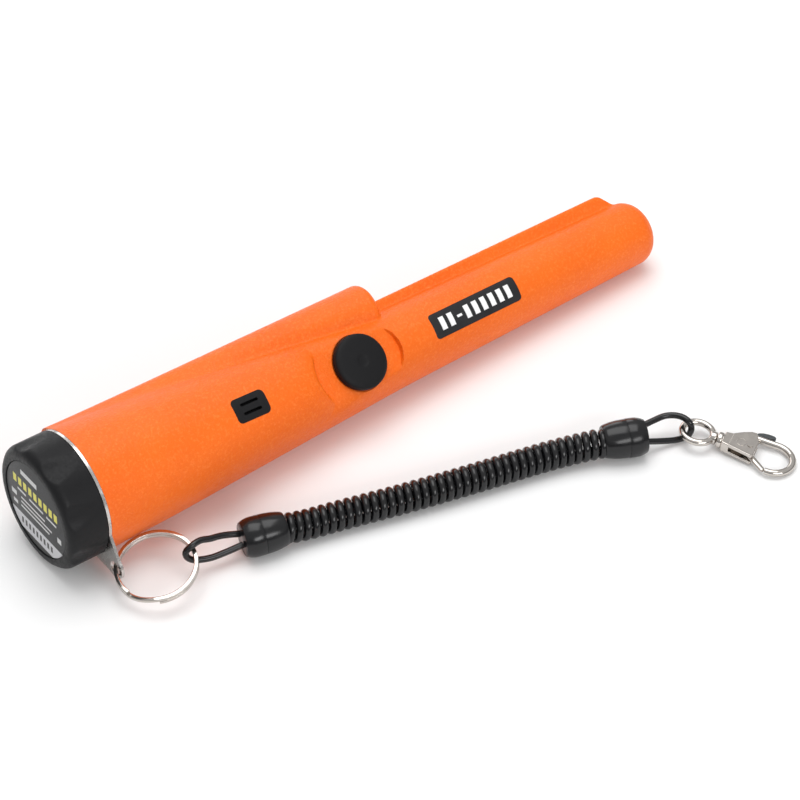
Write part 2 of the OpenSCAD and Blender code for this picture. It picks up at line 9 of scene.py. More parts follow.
import bmesh
import bpy
import numpy as np
from mathutils import Matrix, Vector
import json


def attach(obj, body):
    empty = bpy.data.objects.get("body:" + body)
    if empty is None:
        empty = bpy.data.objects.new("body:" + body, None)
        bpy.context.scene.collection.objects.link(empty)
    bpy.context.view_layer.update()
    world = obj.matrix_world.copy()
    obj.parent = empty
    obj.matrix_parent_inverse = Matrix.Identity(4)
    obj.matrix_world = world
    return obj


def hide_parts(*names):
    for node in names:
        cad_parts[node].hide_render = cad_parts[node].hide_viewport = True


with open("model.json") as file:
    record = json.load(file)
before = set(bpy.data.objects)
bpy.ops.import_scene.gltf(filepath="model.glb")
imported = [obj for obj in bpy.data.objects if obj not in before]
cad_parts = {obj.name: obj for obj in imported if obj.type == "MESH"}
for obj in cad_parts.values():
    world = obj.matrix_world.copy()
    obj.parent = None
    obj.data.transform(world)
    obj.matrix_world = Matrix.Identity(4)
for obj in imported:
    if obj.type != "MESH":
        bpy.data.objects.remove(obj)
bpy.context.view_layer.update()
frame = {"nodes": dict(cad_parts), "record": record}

MM = 0.001
SHARP_EDGE, SHARP_CUT_EDGE = math.radians(35), math.radians(32)

# ---------- dimensions shared with the CAD source, in mm ----------

MID = (115.19, -10.39)
GRIP_R, NECK_R, TIP_R = 20.1, 12.3, 10.55
GRIP_X, GRIP_END, NOSE_X, NOSE_ROUND = 13.3, 125.0, 225.1, 5.9
TIP_DROP = 3.2
ROLL = 47
HUMP_END, HUMP_TOP_H, HUMP_END_H = 126.0, 18.2, 10.6
HUMP_START_R, HUMP_END_R, HUMP_ROUND = 1.6, 8.75, 2.6
HUMP_LEAN = math.atan((HUMP_TOP_H - HUMP_END_H) / (HUMP_END - GRIP_X))
HUMP_CREASE, HUMP_CREASE_GAIN = 0.7, 2.2  # its blend into the grip, and the gain by the cap
BLADE_TOP, BLADE_T, BLADE_X, BLADE_ROUND, BLADE_SLOPE = 15.4, 4.0, 219.0, 3.5, 50
BLADE_START, BLADE_FOOT, BLADE_EDGE = 118, 4, 0.8
PAD_START, PAD_END, PAD_R, PAD_FLOOR = 94.0, 124.4, 10.0, 10.5
SOFT_BEFORE = 112  # towards the cap from this station, creases and the pad's edge grow softer
BUTTON_X, BUTTON_R = 109.5, 8.7
GRILLE_X, GRILLE_TURN, GRILLE_L, GRILLE_W = 67.9, 4, 11.7, 7.5
LABEL_X, LABEL_L, LABEL_W = 154.4, 34.2, 8.0
CAP_R, CAP_ROUND = 19.4, 3.0
FERRULE_L = 13.2
CORD_D, COIL_WIRE_D, COIL_HELIX_R, COIL_TURNS = 2.0, 2.4, 3.48, 40
RING_AT, RING_R, RING_W, RING_H = (21, -28.7, 7), 11.55, 1.3, 2.2
LOOP_A = [
    (47.2, -33.2, 7.4), (42, -31.8, 8.8), (37.7, -31.8, 10.2), (34.6, -31.4, 11.1),
    (31.5, -31.6, 11), (29.7, -31.1, 9.2), (29.9, -31.4, 7.2), (31.8, -32.2, 5.6),
    (36.1, -33.6, 4.8), (40.7, -34.5, 4.8), (46.4, -35.5, 5.2),
]
LOOP_B = [
    (167.2, -71.6, 6.8), (169.9, -71.8, 7), (173, -72.2, 7.2), (176.6, -72.9, 7.4),
    (179, -74.6, 7.6), (180.4, -77, 7.7), (181, -79.4, 7), (181.2, -80.3, 5),
    (180.7, -80, 2.6), (179.4, -79.3, 1.6), (176.2, -78.5, 1.8), (171.5, -77, 3),
    (166.4, -75.6, 4.8),
]
COIL = [
    (59.5, -38.3, 5.6), (66, -40.2, 4.9), (76, -43.2, 4.75), (95, -49.4, 4.75),
    (115, -55.3, 4.75), (135, -60.8, 4.75), (146, -64.4, 4.9), (155.6, -68.7, 5.6),
]
FERRULE_A, FERRULE_A_TURN = (46.9, -34.5, 6), -16.8
FERRULE_B, FERRULE_B_TURN = (155.6, -68.7, 6), -27.1
HOOK_AT, HOOK_TURN, HOOK_PITCH = (182.2, -82.1, 4.1), -61.6, 5.3


# ---------- frames ----------

def turn(degrees, axis):
    return Matrix.Rotation(math.radians(degrees), 4, axis)


def move(x, y, z):
    """A shift given in millimetres, for a frame in metres."""
    return Matrix.Translation((x * MM, y * MM, z * MM))


drop_z = TIP_DROP * math.cos(math.radians(ROLL))
LAY = math.degrees(math.atan((GRIP_R - TIP_R - drop_z) / (NOSE_X - GRIP_X)))
LIFT = GRIP_R * math.cos(math.radians(LAY)) + GRIP_X * math.sin(math.radians(LAY))
BENCH = move(-MID[0], -MID[1], 0)
PROBE = BENCH @ move(0, 0, LIFT) @ turn(LAY, "Y") @ turn(-ROLL, "X")
GRIP_LEAN = math.degrees(math.atan(TIP_DROP / (GRIP_END - GRIP_X)))
GRIP = PROBE @ move(GRIP_X, 0, 0) @ turn(GRIP_LEAN, "Y") @ move(-GRIP_X, 0, 0)
TUBE = PROBE @ move(0, 0, -TIP_DROP)
TO_BUTTON = turn(90, "X")
HOOK = BENCH @ move(*HOOK_AT) @ turn(HOOK_TURN, "Z") @ turn(HOOK_PITCH, "Y")
RING = BENCH @ move(*RING_AT) @ turn(-10, "Y") @ turn(6, "X")


def row(point):
    """A point of the flat lanyard layout, in metres in the row frame."""
    return BENCH @ Vector([c * MM for c in point])


# ---------- camera, before anything else ----------

CAMERA_AZ, CAMERA_EL, CAMERA_ROLL = (math.radians(a) for a in (51.906, 41.512, -0.664))
CAMERA_AT = (-247.559, -484.66, 533.608)
CAMERA_LENS = 117.12


def make_camera():
    ahead = Vector((
        math.cos(CAMERA_EL) * math.cos(CAMERA_AZ),
        math.cos(CAMERA_EL) * math.sin(CAMERA_AZ),
        -math.sin(CAMERA_EL),
    ))
    side = ahead.cross(Vector((0, 0, 1))).normalized()
    up = side.cross(ahead)
    right = side * math.cos(CAMERA_ROLL) + up * math.sin(CAMERA_ROLL)
    top = up * math.cos(CAMERA_ROLL) - side * math.sin(CAMERA_ROLL)
    data = bpy.data.cameras.new("camera")
    data.lens = CAMERA_LENS
    data.sensor_width = 36
    data.clip_start, data.clip_end = 0.01, 20
    camera = bpy.data.objects.new("camera", data)
    bpy.context.scene.collection.objects.link(camera)
    turned = Matrix((right, top, -ahead)).transposed().to_4x4()
    camera.matrix_world = Matrix.Translation(row(CAMERA_AT)) @ turned
    bpy.context.scene.camera = camera


make_camera()


# ---------- materials ----------

class Nodes:
    """A material's node tree, with short ways to add and join nodes."""

    def __init__(self, name, rough, metallic=0.0, coat=0.0, specular=0.5):
        self.material = bpy.data.materials.new(name)
        self.material.use_nodes = True
        self.tree = self.material.node_tree
        self.shader = self.tree.nodes["Principled BSDF"]
        self.set("Roughness", rough)
        self.set("Metallic", metallic)
        self.set("Specular IOR Level", specular)
        self.set("Coat Weight", coat)
        self.set("Coat Roughness", 0.08)
        self.coords = self.add("ShaderNodeTexCoord").outputs["Object"]

    def set(self, socket, value):
        self.shader.inputs[socket].default_value = value

    def add(self, kind, **settings):
        node = self.tree.nodes.new(kind)
        for key, value in settings.items():
            setattr(node, key, value)
        return node

    def join(self, out, into):
        self.tree.links.new(out, into)

    def noise(self, size, detail=2.0, rough=0.55, stretch=None):
        """Noise whose lumps are about size mm across."""
        node = self.add("ShaderNodeTexNoise")
        node.inputs["Scale"].default_value = 1 / (size * MM)
        node.inputs["Detail"].default_value = detail
        node.inputs["Roughness"].default_value = rough
        coords = self.coords
        if stretch:
            mapping = self.add("ShaderNodeMapping")
            mapping.inputs["Scale"].default_value = stretch
            self.join(coords, mapping.inputs["Vector"])
            coords = mapping.outputs["Vector"]
        self.join(coords, node.inputs["Vector"])
        return node.outputs["Fac"]

    def math(self, operation, *values):
        node = self.add("ShaderNodeMath", operation=operation)
        for socket, value in zip(node.inputs, values):
            if isinstance(value, (int, float)):
                socket.default_value = value
            else:
                self.join(value, socket)
        return node.outputs[0]

    def ramp(self, value, low, high, to_low, to_high):
        node = self.add("ShaderNodeMapRange")
        self.join(value, node.inputs["Value"])
        for socket, number in zip(("From Min", "From Max", "To Min", "To Max"),
                                  (low, high, to_low, to_high)):
            node.inputs[socket].default_value = number
        return node.outputs["Result"]

    def mix(self, share, a, b):
        """Colour a turning to b by share; each is a colour or a socket."""
        node = self.add("ShaderNodeMix", data_type="RGBA")
        self.join(share, node.inputs["Factor"])
        colour_inputs = [s for s in node.inputs if s.type == "RGBA"]
        for socket, value in zip(colour_inputs, (a, b)):
            if isinstance(value, tuple):
                socket.default_value = (*value, 1)
            else:
                self.join(value, socket)
        return next(s for s in node.outputs if s.type == "RGBA")

    def colour(self, out):
        self.join(out, self.shader.inputs["Base Color"])

    def roughness(self, out):
        self.join(out, self.shader.inputs["Roughness"])

    def bump(self, height, strength, depth):
        """Bump from a 0 to 1 height that stands for depth mm."""
        node = self.add("ShaderNodeBump")
        node.inputs["Strength"].default_value = strength
        node.inputs["Distance"].default_value = depth * MM
        self.join(height, node.inputs["Height"])
        self.join(node.outputs["Normal"], self.shader.inputs["Normal"])


def shade(colour, factor):
    return tuple(min(1.0, c * factor) for c in colour)


def moulded(name, colour, rough, grain, depth, spread=0.12, variation=0.06, coat=0.0, specular=0.4):
    """Moulded plastic or rubber: eroded grain, slightly uneven colour and gloss."""
    n = Nodes(name, rough, coat=coat, specular=specular)
    cloudy = n.noise(24, 3)
    n.colour(n.mix(n.ramp(cloudy, 0.3, 0.7, 0, 1), shade(colour, 1 - variation),
                   shade(colour, 1 + variation)))
    n.roughness(n.ramp(n.noise(grain * 1.7, 3), 0.3, 0.7, rough - spread / 2, rough + spread / 2))
    n.bump(n.noise(grain, 3, 0.6), 0.55, depth)
    return n.material


def metal(name, colour, rough, scratch=(1, 1, 1), depth=0.006, tarnish=0.12):
    """Plated or rolled metal with fine drawn lines and patchy tarnish."""
    n = Nodes(name, rough, metallic=1.0)
    patchy = n.noise(3.2, 4)
    n.colour(n.mix(n.ramp(patchy, 0.35, 0.75, 0, 1), colour, shade(colour, 1 - tarnish)))
    n.roughness(n.ramp(n.noise(1.1, 4), 0.3, 0.7, rough * 0.75, rough * 1.3))
    n.bump(n.noise(0.5, 3, 0.6, scratch), 0.4, depth)
    return n.material


def orange_shell():
    """Bright orange polycarbonate with a spark-eroded skin that breaks up its highlight, and lighter
    specks painted into its colour as glints of that grain.
    """
    n = Nodes("orange_plastic", 0.42, specular=0.32)
    cloudy = n.ramp(n.noise(30, 3), 0.3, 0.7, 0, 1)
    ground = n.mix(cloudy, (0.86, 0.128, 0.002), (0.91, 0.152, 0.004))
    # painted highlight: lighter specks in the colour stand for glints on the eroded grain
    painted_glint_speckle = n.ramp(n.noise(0.9, 3, 0.7), 0.5, 0.68, 0, 0.42)
    n.colour(n.mix(painted_glint_speckle, ground, (1.0, 0.26, 0.045)))
    grain = n.noise(0.75, 2, 0.6)
    n.roughness(n.ramp(n.noise(1.3, 3), 0.3, 0.7, 0.36, 0.5))
    fine = n.noise(0.3, 2, 0.6)
    n.bump(n.math("ADD", n.math("MULTIPLY", grain, 0.75), n.math("MULTIPLY", fine, 0.25)),
           1.0, 0.25)
    return n.material


def printed(name, marks, ground, ink, rough, place):
    """A label: rectangles of ink, each (x, y, half length, half width) in mm in the frame place."""
    n = Nodes(name, rough, specular=0.2)
    flat = n.add("ShaderNodeMapping")
    back = place.inverted()
    flat.inputs["Location"].default_value = back.to_translation()
    flat.inputs["Rotation"].default_value = back.to_euler("XYZ")
    n.join(n.coords, flat.inputs["Vector"])
    split = n.add("ShaderNodeSeparateXYZ")
    n.join(flat.outputs["Vector"], split.inputs[0])
    x, y = split.outputs["X"], split.outputs["Y"]
    colour = n.mix(n.ramp(n.noise(6, 3), 0.3, 0.7, 0, 1), shade(ground, 0.85), shade(ground, 1.15))
    for tone, rectangles in zip(ink, marks):
        mask = None
        for cx, cy, half_x, half_y in rectangles:
            inside = n.math("MULTIPLY", n.math("COMPARE", x, cx * MM, half_x * MM),
                            n.math("COMPARE", y, cy * MM, half_y * MM))
            mask = inside if mask is None else n.math("MAXIMUM", mask, inside)
        colour = n.mix(mask, colour, tone)
    n.colour(colour)
    n.roughness(n.ramp(n.noise(0.5, 3), 0.3, 0.7, rough - 0.05, rough + 0.08))
    n.bump(n.noise(0.35, 2), 0.3, 0.012)
    return n.material


def clear_lens():
    n = Nodes("lens_clear", 0.06)
    n.set("Transmission Weight", 0.85)
    n.colour(n.mix(n.noise(1.5, 2), (0.93, 0.95, 0.97), (0.86, 0.89, 0.93)))
    n.bump(n.noise(0.6, 2), 0.2, 0.01)
    return n.material


BATTERY_BAND = -0.075  # where the case turns from copper to black along the row's X, in metres


def battery_case():
    n = Nodes("battery_case", 0.3, metallic=0.6)
    split = n.add("ShaderNodeSeparateXYZ")
    n.join(n.coords, split.inputs[0])
    band = n.math("GREATER_THAN", split.outputs["X"], BATTERY_BAND)
    ground = n.mix(n.ramp(n.noise(5, 3), 0.3, 0.7, 0, 1), (0.03, 0.03, 0.035), (0.05, 0.05, 0.055))
    n.colour(n.mix(band, (0.62, 0.33, 0.10), ground))
    n.roughness(n.ramp(n.noise(0.8, 3), 0.3, 0.7, 0.25, 0.4))
    n.bump(n.noise(0.9, 2), 0.3, 0.02)
    return n.material


def wound(name, colour):
    """Enamelled wire wound in close turns along the coil's axis, with shade painted darker into the
    grooves between the turns.
    """
    n = Nodes(name, 0.3, metallic=0.85)
    wave = n.add("ShaderNodeTexWave", wave_type="BANDS", bands_direction="X")
    wave.inputs["Scale"].default_value = 1 / (0.9 * MM) / 3
    n.join(n.coords, wave.inputs["Vector"])
    # painted shade: the colour darkens where the bands dip into the grooves between turns
    n.colour(n.mix(wave.outputs["Fac"], shade(colour, 0.55), colour))
    n.roughness(n.ramp(n.noise(0.6, 2), 0.3, 0.7, 0.25, 0.38))
    n.bump(wave.outputs["Fac"], 0.7, 0.12)
    return n.material


def circuit_board():
    n = Nodes("board_green", 0.35, coat=0.2)
    cells = n.add("ShaderNodeTexVoronoi", feature="DISTANCE_TO_EDGE", distance="MANHATTAN")
    cells.inputs["Scale"].default_value = 1 / (2.4 * MM)
    n.join(n.coords, cells.inputs["Vector"])
    tracks = n.ramp(cells.outputs["Distance"], 0.04, 0.07, 1, 0)
    ground = n.mix(n.noise(8, 3), (0.008, 0.095, 0.035), (0.012, 0.13, 0.05))
    n.colour(n.mix(tracks, ground, (0.03, 0.24, 0.09)))
    n.roughness(n.ramp(n.noise(0.9, 2), 0.3, 0.7, 0.3, 0.42))
    n.bump(tracks, 0.4, 0.035)
    return n.material


LABEL_BARS = [(-13.2 + 3.3 * i, 0.1 if i != 2 else 0, 0.95, 2.1 if i != 2 else 0.4) for i in range(9)]
CAP_TITLE = [(-10.6 + 2.65 * i, 4.9, 0.85, 1.5) for i in range(9)]
CAP_LINES = [
    (-3.0, 9.6, 4.2, 0.9), (-7.2, 1.6, 2.2, 0.38), (0.4, 1.6, 3.6, 0.38), (8.2, 1.6, 2.6, 0.38),
    (-11.4, -1.3, 1.3, 0.9), (-1.5, -0.9, 6.2, 0.34), (0.2, -2.6, 8.0, 0.34), (-0.6, -4.3, 7.4, 0.34),
    (12.0, -3.0, 1.0, 1.0), (-10.8, -4.6, 1.1, 0.7),
]
CAP_PANEL = [(0.6, -10.1, 13.4, 2.7)]
CAP_PANEL_BARS = [(-7.6 + 1.9 * i, -9.9, 0.5, 1.15) for i in range(9)]

MATERIALS = {
    "orange_plastic": orange_shell(),
    "black_plastic": moulded("black_plastic", (0.012, 0.012, 0.013), 0.42, 0.55, 0.06, 0.2,
                             specular=0.15),
    "label_print": moulded("label_print", (0.02, 0.02, 0.021), 0.38, 0.6, 0.02),
    "button_rubber": moulded("button_rubber", (0.010, 0.010, 0.011), 0.55, 0.4, 0.02, 0.1,
                             specular=0.15),
    "seal_rubber": moulded("seal_rubber", (0.014, 0.014, 0.014), 0.5, 0.5, 0.02),
    "foam": moulded("foam", (0.045, 0.047, 0.05), 0.9, 0.6, 0.25, 0.1, 0.25),
    "steel": metal("steel", (0.62, 0.60, 0.58), 0.24, (4, 0.4, 4)),
    "nickel": metal("nickel", (0.60, 0.56, 0.52), 0.11, (1, 1, 1), 0.004, 0.16),
    "dark_lever": moulded("dark_lever", (0.05, 0.055, 0.058), 0.4, 0.5, 0.03),
    "cord_black": moulded("cord_black", (0.006, 0.006, 0.007), 0.2, 1.2, 0.01, 0.08, 0.1,
                          specular=0.45),
    "ferrule_black": moulded("ferrule_black", (0.006, 0.006, 0.007), 0.22, 1.4, 0.02, 0.1, 0.1),
    "lens_clear": clear_lens(),
    "led_body": moulded("led_body", (0.78, 0.78, 0.70), 0.12, 1.2, 0.01, 0.06, 0.05, 0.4),
    "board_green": circuit_board(),
    "chip_black": moulded("chip_black", (0.022, 0.022, 0.024), 0.5, 0.3, 0.02),
    "capacitor_blue": moulded("capacitor_blue", (0.025, 0.06, 0.22), 0.3, 0.7, 0.01, 0.08, 0.1, 0.3),
    "ivory_plastic": moulded("ivory_plastic", (0.74, 0.69, 0.56), 0.45, 0.7, 0.03),
    "grey_plastic": moulded("grey_plastic", (0.33, 0.34, 0.35), 0.5, 0.6, 0.04),
    "battery_case": battery_case(),
    "red_wire": moulded("red_wire", (0.52, 0.02, 0.016), 0.35, 0.6, 0.01),
    "black_wire": moulded("black_wire", (0.014, 0.014, 0.015), 0.35, 0.6, 0.01),
    "membrane": moulded("membrane", (0.03, 0.03, 0.032), 0.85, 0.25, 0.06),
    "ferrite": moulded("ferrite", (0.045, 0.045, 0.048), 0.55, 0.25, 0.05, 0.2),
    "copper": wound("copper", (0.70, 0.26, 0.10)),
}
SIDE_LABEL = TUBE @ move(LABEL_X, 0, 0) @ TO_BUTTON
READING, LABEL_UP = Vector((0, -0.65, -0.76)).normalized(), Vector((0, -0.76, 0.65)).normalized()
CAP_LABEL = PROBE @ move(0.28, 0, 0) @ Matrix(
    (READING, LABEL_UP, Vector((-1, 0, 0)))).transposed().to_4x4()
SIDE_PRINT = printed("side_print", [LABEL_BARS], (0.022, 0.022, 0.024), [(0.86, 0.86, 0.86)], 0.4,
                     SIDE_LABEL)
CAP_PRINT = printed(
    "cap_print", [CAP_TITLE, CAP_LINES, CAP_PANEL, CAP_PANEL_BARS], (0.035, 0.035, 0.037),
    [(0.72, 0.66, 0.12), (0.62, 0.62, 0.62), (0.62, 0.62, 0.64), (0.05, 0.05, 0.05)], 0.36,
    CAP_LABEL,
)


def dress_cad_nodes():
    """Every CAD node gets its slot's procedural material and smooth shading by angle."""
    slots = {s["node"]: s["material_slot"] for s in frame["record"]["subparts"]}
    for name, node in frame["nodes"].items():
        node.data.materials.clear()
        node.data.materials.append(MATERIALS[slots[name]])
        node.data.shade_smooth()
        node.data.set_sharp_from_angle(angle=SHARP_EDGE)


dress_cad_nodes()


# ---------- mesh helpers ----------

def placed(points, place):
    """Points in millimetres in the frame place, turned into metres in the row frame."""
    matrix = np.array(place)
    return np.asarray(points, float) * MM @ matrix[:3, :3].T + matrix[:3, 3]


def face_outwards(mesh):
    """Turns every face so that its front looks out of the solid."""
    work = bmesh.new()
    work.from_mesh(mesh)
    bmesh.ops.recalc_face_normals(work, faces=work.faces)
    work.to_mesh(mesh)
    work.free()


def piece(name, points, faces, place, body, slot, replaced=(), material=None):
    """A mesh piece from points in millimetres in the frame place, riding on body."""
    mesh = bpy.data.meshes.new(name)
    mesh.from_pydata(placed(points, place).tolist(), [], faces)
    mesh.validate()
    face_outwards(mesh)
    mesh.shade_smooth()
    mesh.set_sharp_from_angle(angle=SHARP_EDGE)
    made = bpy.data.objects.new(name, mesh)
    bpy.context.scene.collection.objects.link(made)
    mesh.materials.append(material or MATERIALS[slot])
    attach(made, body)
    if replaced:
        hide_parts(*replaced)
    return made


def ring_faces(rows, columns, closed_rows=False):
    """Quads between rows of points that each go round, row after row."""
    last = rows if closed_rows else rows - 1
    return [
        (i * columns + j, i * columns + (j + 1) % columns,
         ((i + 1) % rows) * columns + (j + 1) % columns, ((i + 1) % rows) * columns + j)
        for i in range(last) for j in range(columns)
    ]


def turned(profile, steps=96):
    """A closed turned form: profile is (distance along X, radius), and flat discs close its ends."""
    angles = np.linspace(0, 2 * math.pi, steps, endpoint=False)
    points = [(x, r * math.sin(a), r * math.cos(a)) for x, r in profile for a in angles]
    return points, closed_rows(len(profile), steps)


def closed_rows(rows, columns):
    """Quads between rows that each go round, with the first and last row filled."""
    faces = ring_faces(rows, columns)
    first = (rows - 1) * columns
    return faces + [tuple(reversed(range(columns))), tuple(range(first, first + columns))]


def swept(route, radius, sides=20, closed=False, flat=(1, 1)):
    """A round bar along a route of points; radius may be one number or one per point."""
    route = np.asarray(route, float)
    if closed:
        ahead = np.roll(route, -1, 0) - np.roll(route, 1, 0)
    else:
        ahead = np.gradient(route, axis=0)
    ahead /= np.linalg.norm(ahead, axis=1)[:, None]
    side = np.cross(ahead, (0, 0, 1.0))
    side /= np.linalg.norm(side, axis=1)[:, None]
    up = np.cross(side, ahead)
    radii = np.broadcast_to(radius, len(route))
    angles = np.linspace(0, 2 * math.pi, sides, endpoint=False)
    points = [
        centre + r * (math.cos(a) * s * flat[0] + math.sin(a) * u * flat[1])
        for centre, s, u, r in zip(route, side, up, radii) for a in angles
    ]
    if closed:
        return points, ring_faces(len(route), sides, True)
    return points, closed_rows(len(route), sides)


def rounded(profile, radius=0.3, steps=4):
    """A profile with its inner corners rounded."""
    pts = [np.array(p, float) for p in profile]
    out = [pts[0]]
    for a, b, c in zip(pts, pts[1:], pts[2:]):
        u, v = a - b, c - b
        reach = min(radius, np.linalg.norm(u) * 0.45, np.linalg.norm(v) * 0.45)
        p, q = b + u / np.linalg.norm(u) * reach, b + v / np.linalg.norm(v) * reach
        for t in np.linspace(0, 1, steps):
            out.append((1 - t) ** 2 * p + 2 * t * (1 - t) * b + t * t * q)
    out.append(pts[-1])
    return out


def catmull(route, steps):
    """Points of a smooth curve through the route."""
    p = np.asarray(route, float)
    p = np.vstack([2 * p[0] - p[1], p, 2 * p[-1] - p[-2]])
    out = []
    for a, b, c, d in zip(p, p[1:], p[2:], p[3:]):
        for t in np.linspace(0, 1, steps, endpoint=False):
            out.append(0.5 * (2 * b + (c - a) * t + (2 * a - 5 * b + 4 * c - d) * t * t
                              + (3 * b - a - 3 * c + d) * t ** 3))
    out.append(p[-2])
    return np.array(out)


def smooth_min(a, b, k):
    h = np.clip(0.5 + 0.5 * (b - a) / k, 0, 1)
    return b * (1 - h) + a * h - k * h * (1 - h)


def smooth_max(a, b, k):
    return -smooth_min(-a, -b, k)


def fine_steps(low, high, step, dense):
    """Stations from low to high every step, and closer in each (start, end, step) of dense."""
    at = [np.arange(low, high, step), [high]]
    at += [np.arange(a, b, s) for a, b, s in dense]
    found = np.unique(np.round(np.concatenate(at), 4))
    keep = [found[0]]
    for x in found[1:]:
        if x - keep[-1] > 0.03:
            keep.append(x)
    return np.array(keep)


# ---------- the probe's shell ----------

def body_line(x):
    """Height of the body's centre at station x, in the probe frame."""
    return -np.clip((x - GRIP_X) / (GRIP_END - GRIP_X), None, 1) * TIP_DROP


def body_radius(x):
    grip = NECK_R + (GRIP_R - NECK_R) * (GRIP_END - x) / (GRIP_END - GRIP_X)
    tube = NECK_R + (TIP_R - NECK_R) * (np.minimum(x, NOSE_X) - GRIP_END) / (NOSE_X - GRIP_END)
    return smooth_max(grip, tube, 0.25)


def rounded_end(rad, ahead, radius, round_r):
    """Distance outside a round bar whose end at ahead = 0 has the rounding round_r."""
    q0, q1 = rad - (radius - round_r), ahead + round_r
    return (np.hypot(np.maximum(q0, 0), np.maximum(q1, 0))
            + np.minimum(np.maximum(q0, q1), 0) - round_r)


def leaned(x, z, lean):
    """Coordinates along and up from an axis that leans down by lean radians."""
    return x * math.cos(lean) - z * math.sin(lean), x * math.sin(lean) + z * math.cos(lean)


def softness(x, over):
    """0 from SOFT_BEFORE to the tip, rising to 1 over a length towards the cap."""
    return np.clip((SOFT_BEFORE - x) / over, 0, 1)


def hump_distance(x, y, z):
    """Distance outside the lamp housing: a leaning cone with a rounded front."""
    long = (HUMP_END - GRIP_X) / math.cos(HUMP_LEAN)
    along, up = leaned(x - HUMP_END, z - HUMP_END_H, HUMP_LEAN)
    share = (np.minimum(along, -HUMP_ROUND) + long) / (long - HUMP_ROUND)
    hump_r = HUMP_START_R + share * (HUMP_END_R - HUMP_START_R)
    return rounded_end(np.hypot(y, up), along, hump_r, HUMP_ROUND)


def blade_distance(x, y, z):
    """Distance outside the fin on the tube, whose top corner is rounded and front slopes."""
    dx, dz = x - BLADE_X, z + TIP_DROP - (BLADE_TOP - BLADE_ROUND)
    slope = math.radians(BLADE_SLOPE)
    edge = np.maximum(dz, dx * math.sin(slope) + dz * math.cos(slope))
    corner = (dx > 0) & (dx * math.cos(slope) - dz * math.sin(slope) < 0)
    edge = np.where(corner & (dz > 0), np.hypot(dx, dz), edge) - BLADE_ROUND
    blade = rounded_end(np.abs(y), edge, BLADE_T / 2, BLADE_EDGE)
    return np.maximum(blade, np.maximum(BLADE_START - x, BLADE_FOOT - TIP_DROP - z))


def shell_distance(x, y, z):
    """How far a point of the probe frame lies outside the shell's skin, in mm."""
    centre = body_line(x)
    body = rounded_end(np.hypot(y, z - centre), x - NOSE_X - NOSE_ROUND, body_radius(x), NOSE_ROUND)
    skin = smooth_min(body, hump_distance(x, y, z),
                      HUMP_CREASE + HUMP_CREASE_GAIN * softness(x, 70))
    skin = smooth_min(skin, blade_distance(x, y, z), BLADE_EDGE)
    gx, gz = leaned(x - GRIP_X, z, math.radians(GRIP_LEAN))
    gx += GRIP_X
    near = np.clip(gx, PAD_START + PAD_R, PAD_END - PAD_R)
    slot = np.hypot(gx - near, gz) - PAD_R
    pad = np.minimum(-y - PAD_FLOOR, -slot * (1 - 0.7 * softness(gx, 12)))
    return smooth_max(skin, pad, 0.35 + 2.6 * softness(gx, 16))


def skin_radius(x, angle):
    """Distance from the body's centre line out to the skin, for arrays of stations and angles."""
    sine, cosine = np.sin(angle), np.cos(angle)
    low, high = np.full(x.shape, 3.0), np.full(x.shape, 26.0)
    for _ in range(34):
        middle = (low + high) / 2
        outside = shell_distance(x, -middle * sine, body_line(x) + middle * cosine) > 0
        high = np.where(outside, middle, high)
        low = np.where(outside, low, middle)
    return (low + high) / 2


def skin_point(x, angle, radius):
    return np.stack([x, -radius * np.sin(angle), body_line(x) + radius * np.cos(angle)], -1)


MOUTH_EASE, MOUTH_EASE_L = 0.6, 28  # the grip draws in a little towards the cap


def make_shell():
    stations = fine_steps(GRIP_X + 0.02, 230.99, 1.1, [
        (GRIP_X, 15, 0.3), (91.5, 97.5, 0.4), (119, 122.5, 0.4), (122.5, 127.4, 0.12),
        (215, 224, 0.4), (223.5, 231, 0.22), (230.4, 231, 0.07),
    ])
    degrees = fine_steps(-180, 179.4, 1.6, [
        (-13, 13, 0.45), (30, 62, 0.6), (62, 120, 1.1), (120, 150, 0.6),
    ])
    x, angle = np.meshgrid(stations, np.radians(degrees), indexing="ij")
    ease = 1 - np.clip((x - GRIP_X) / MOUTH_EASE_L, 0, 1)
    radius = skin_radius(x, angle) - MOUTH_EASE * ease ** 1.5
    return skin_point(x, angle, radius).reshape(-1, 3), closed_rows(*x.shape)


def cutter(name, points, faces, place):
    mesh = bpy.data.meshes.new(name)
    mesh.from_pydata(placed(points, place).tolist(), [], faces)
    face_outwards(mesh)
    made = bpy.data.objects.new(name, mesh)
    bpy.context.scene.collection.objects.link(made)
    return made


def prism(outline, low, high):
    """A closed prism along +Z from a 2D outline that goes round anticlockwise."""
    points = [(x, y, level) for level in (low, high) for x, y in outline]
    return points, closed_rows(2, len(outline))


def oval(long, wide, r, steps=8):
    """Outline of a rounded rectangle."""
    corners = ((long / 2 - r, wide / 2 - r, 0), (-long / 2 + r, wide / 2 - r, 90),
               (-long / 2 + r, -wide / 2 + r, 180), (long / 2 - r, -wide / 2 + r, 270))
    return [(cx + r * math.cos(math.radians(a + 90 * i / steps)),
             cy + r * math.sin(math.radians(a + 90 * i / steps)))
            for cx, cy, a in corners for i in range(steps + 1)]


def circle(r, steps=72):
    return [(r * math.cos(a), r * math.sin(a))
            for a in np.linspace(0, 2 * math.pi, steps, endpoint=False)]


def bent_block(long, wide, r, depth, place_x, clearance):
    """A cutter for the label: a rounded rectangle bent round the tube, from depth below its skin."""
    outline = oval(long + clearance, wide + clearance, r)
    points = []
    for below in (depth, -2.0):
        for x, z in outline:
            radius = float(body_radius(np.array([place_x + x]))[0]) - below
            points.append((place_x + x, -math.sqrt(radius ** 2 - z * z), z))
    return points, closed_rows(2, len(outline))


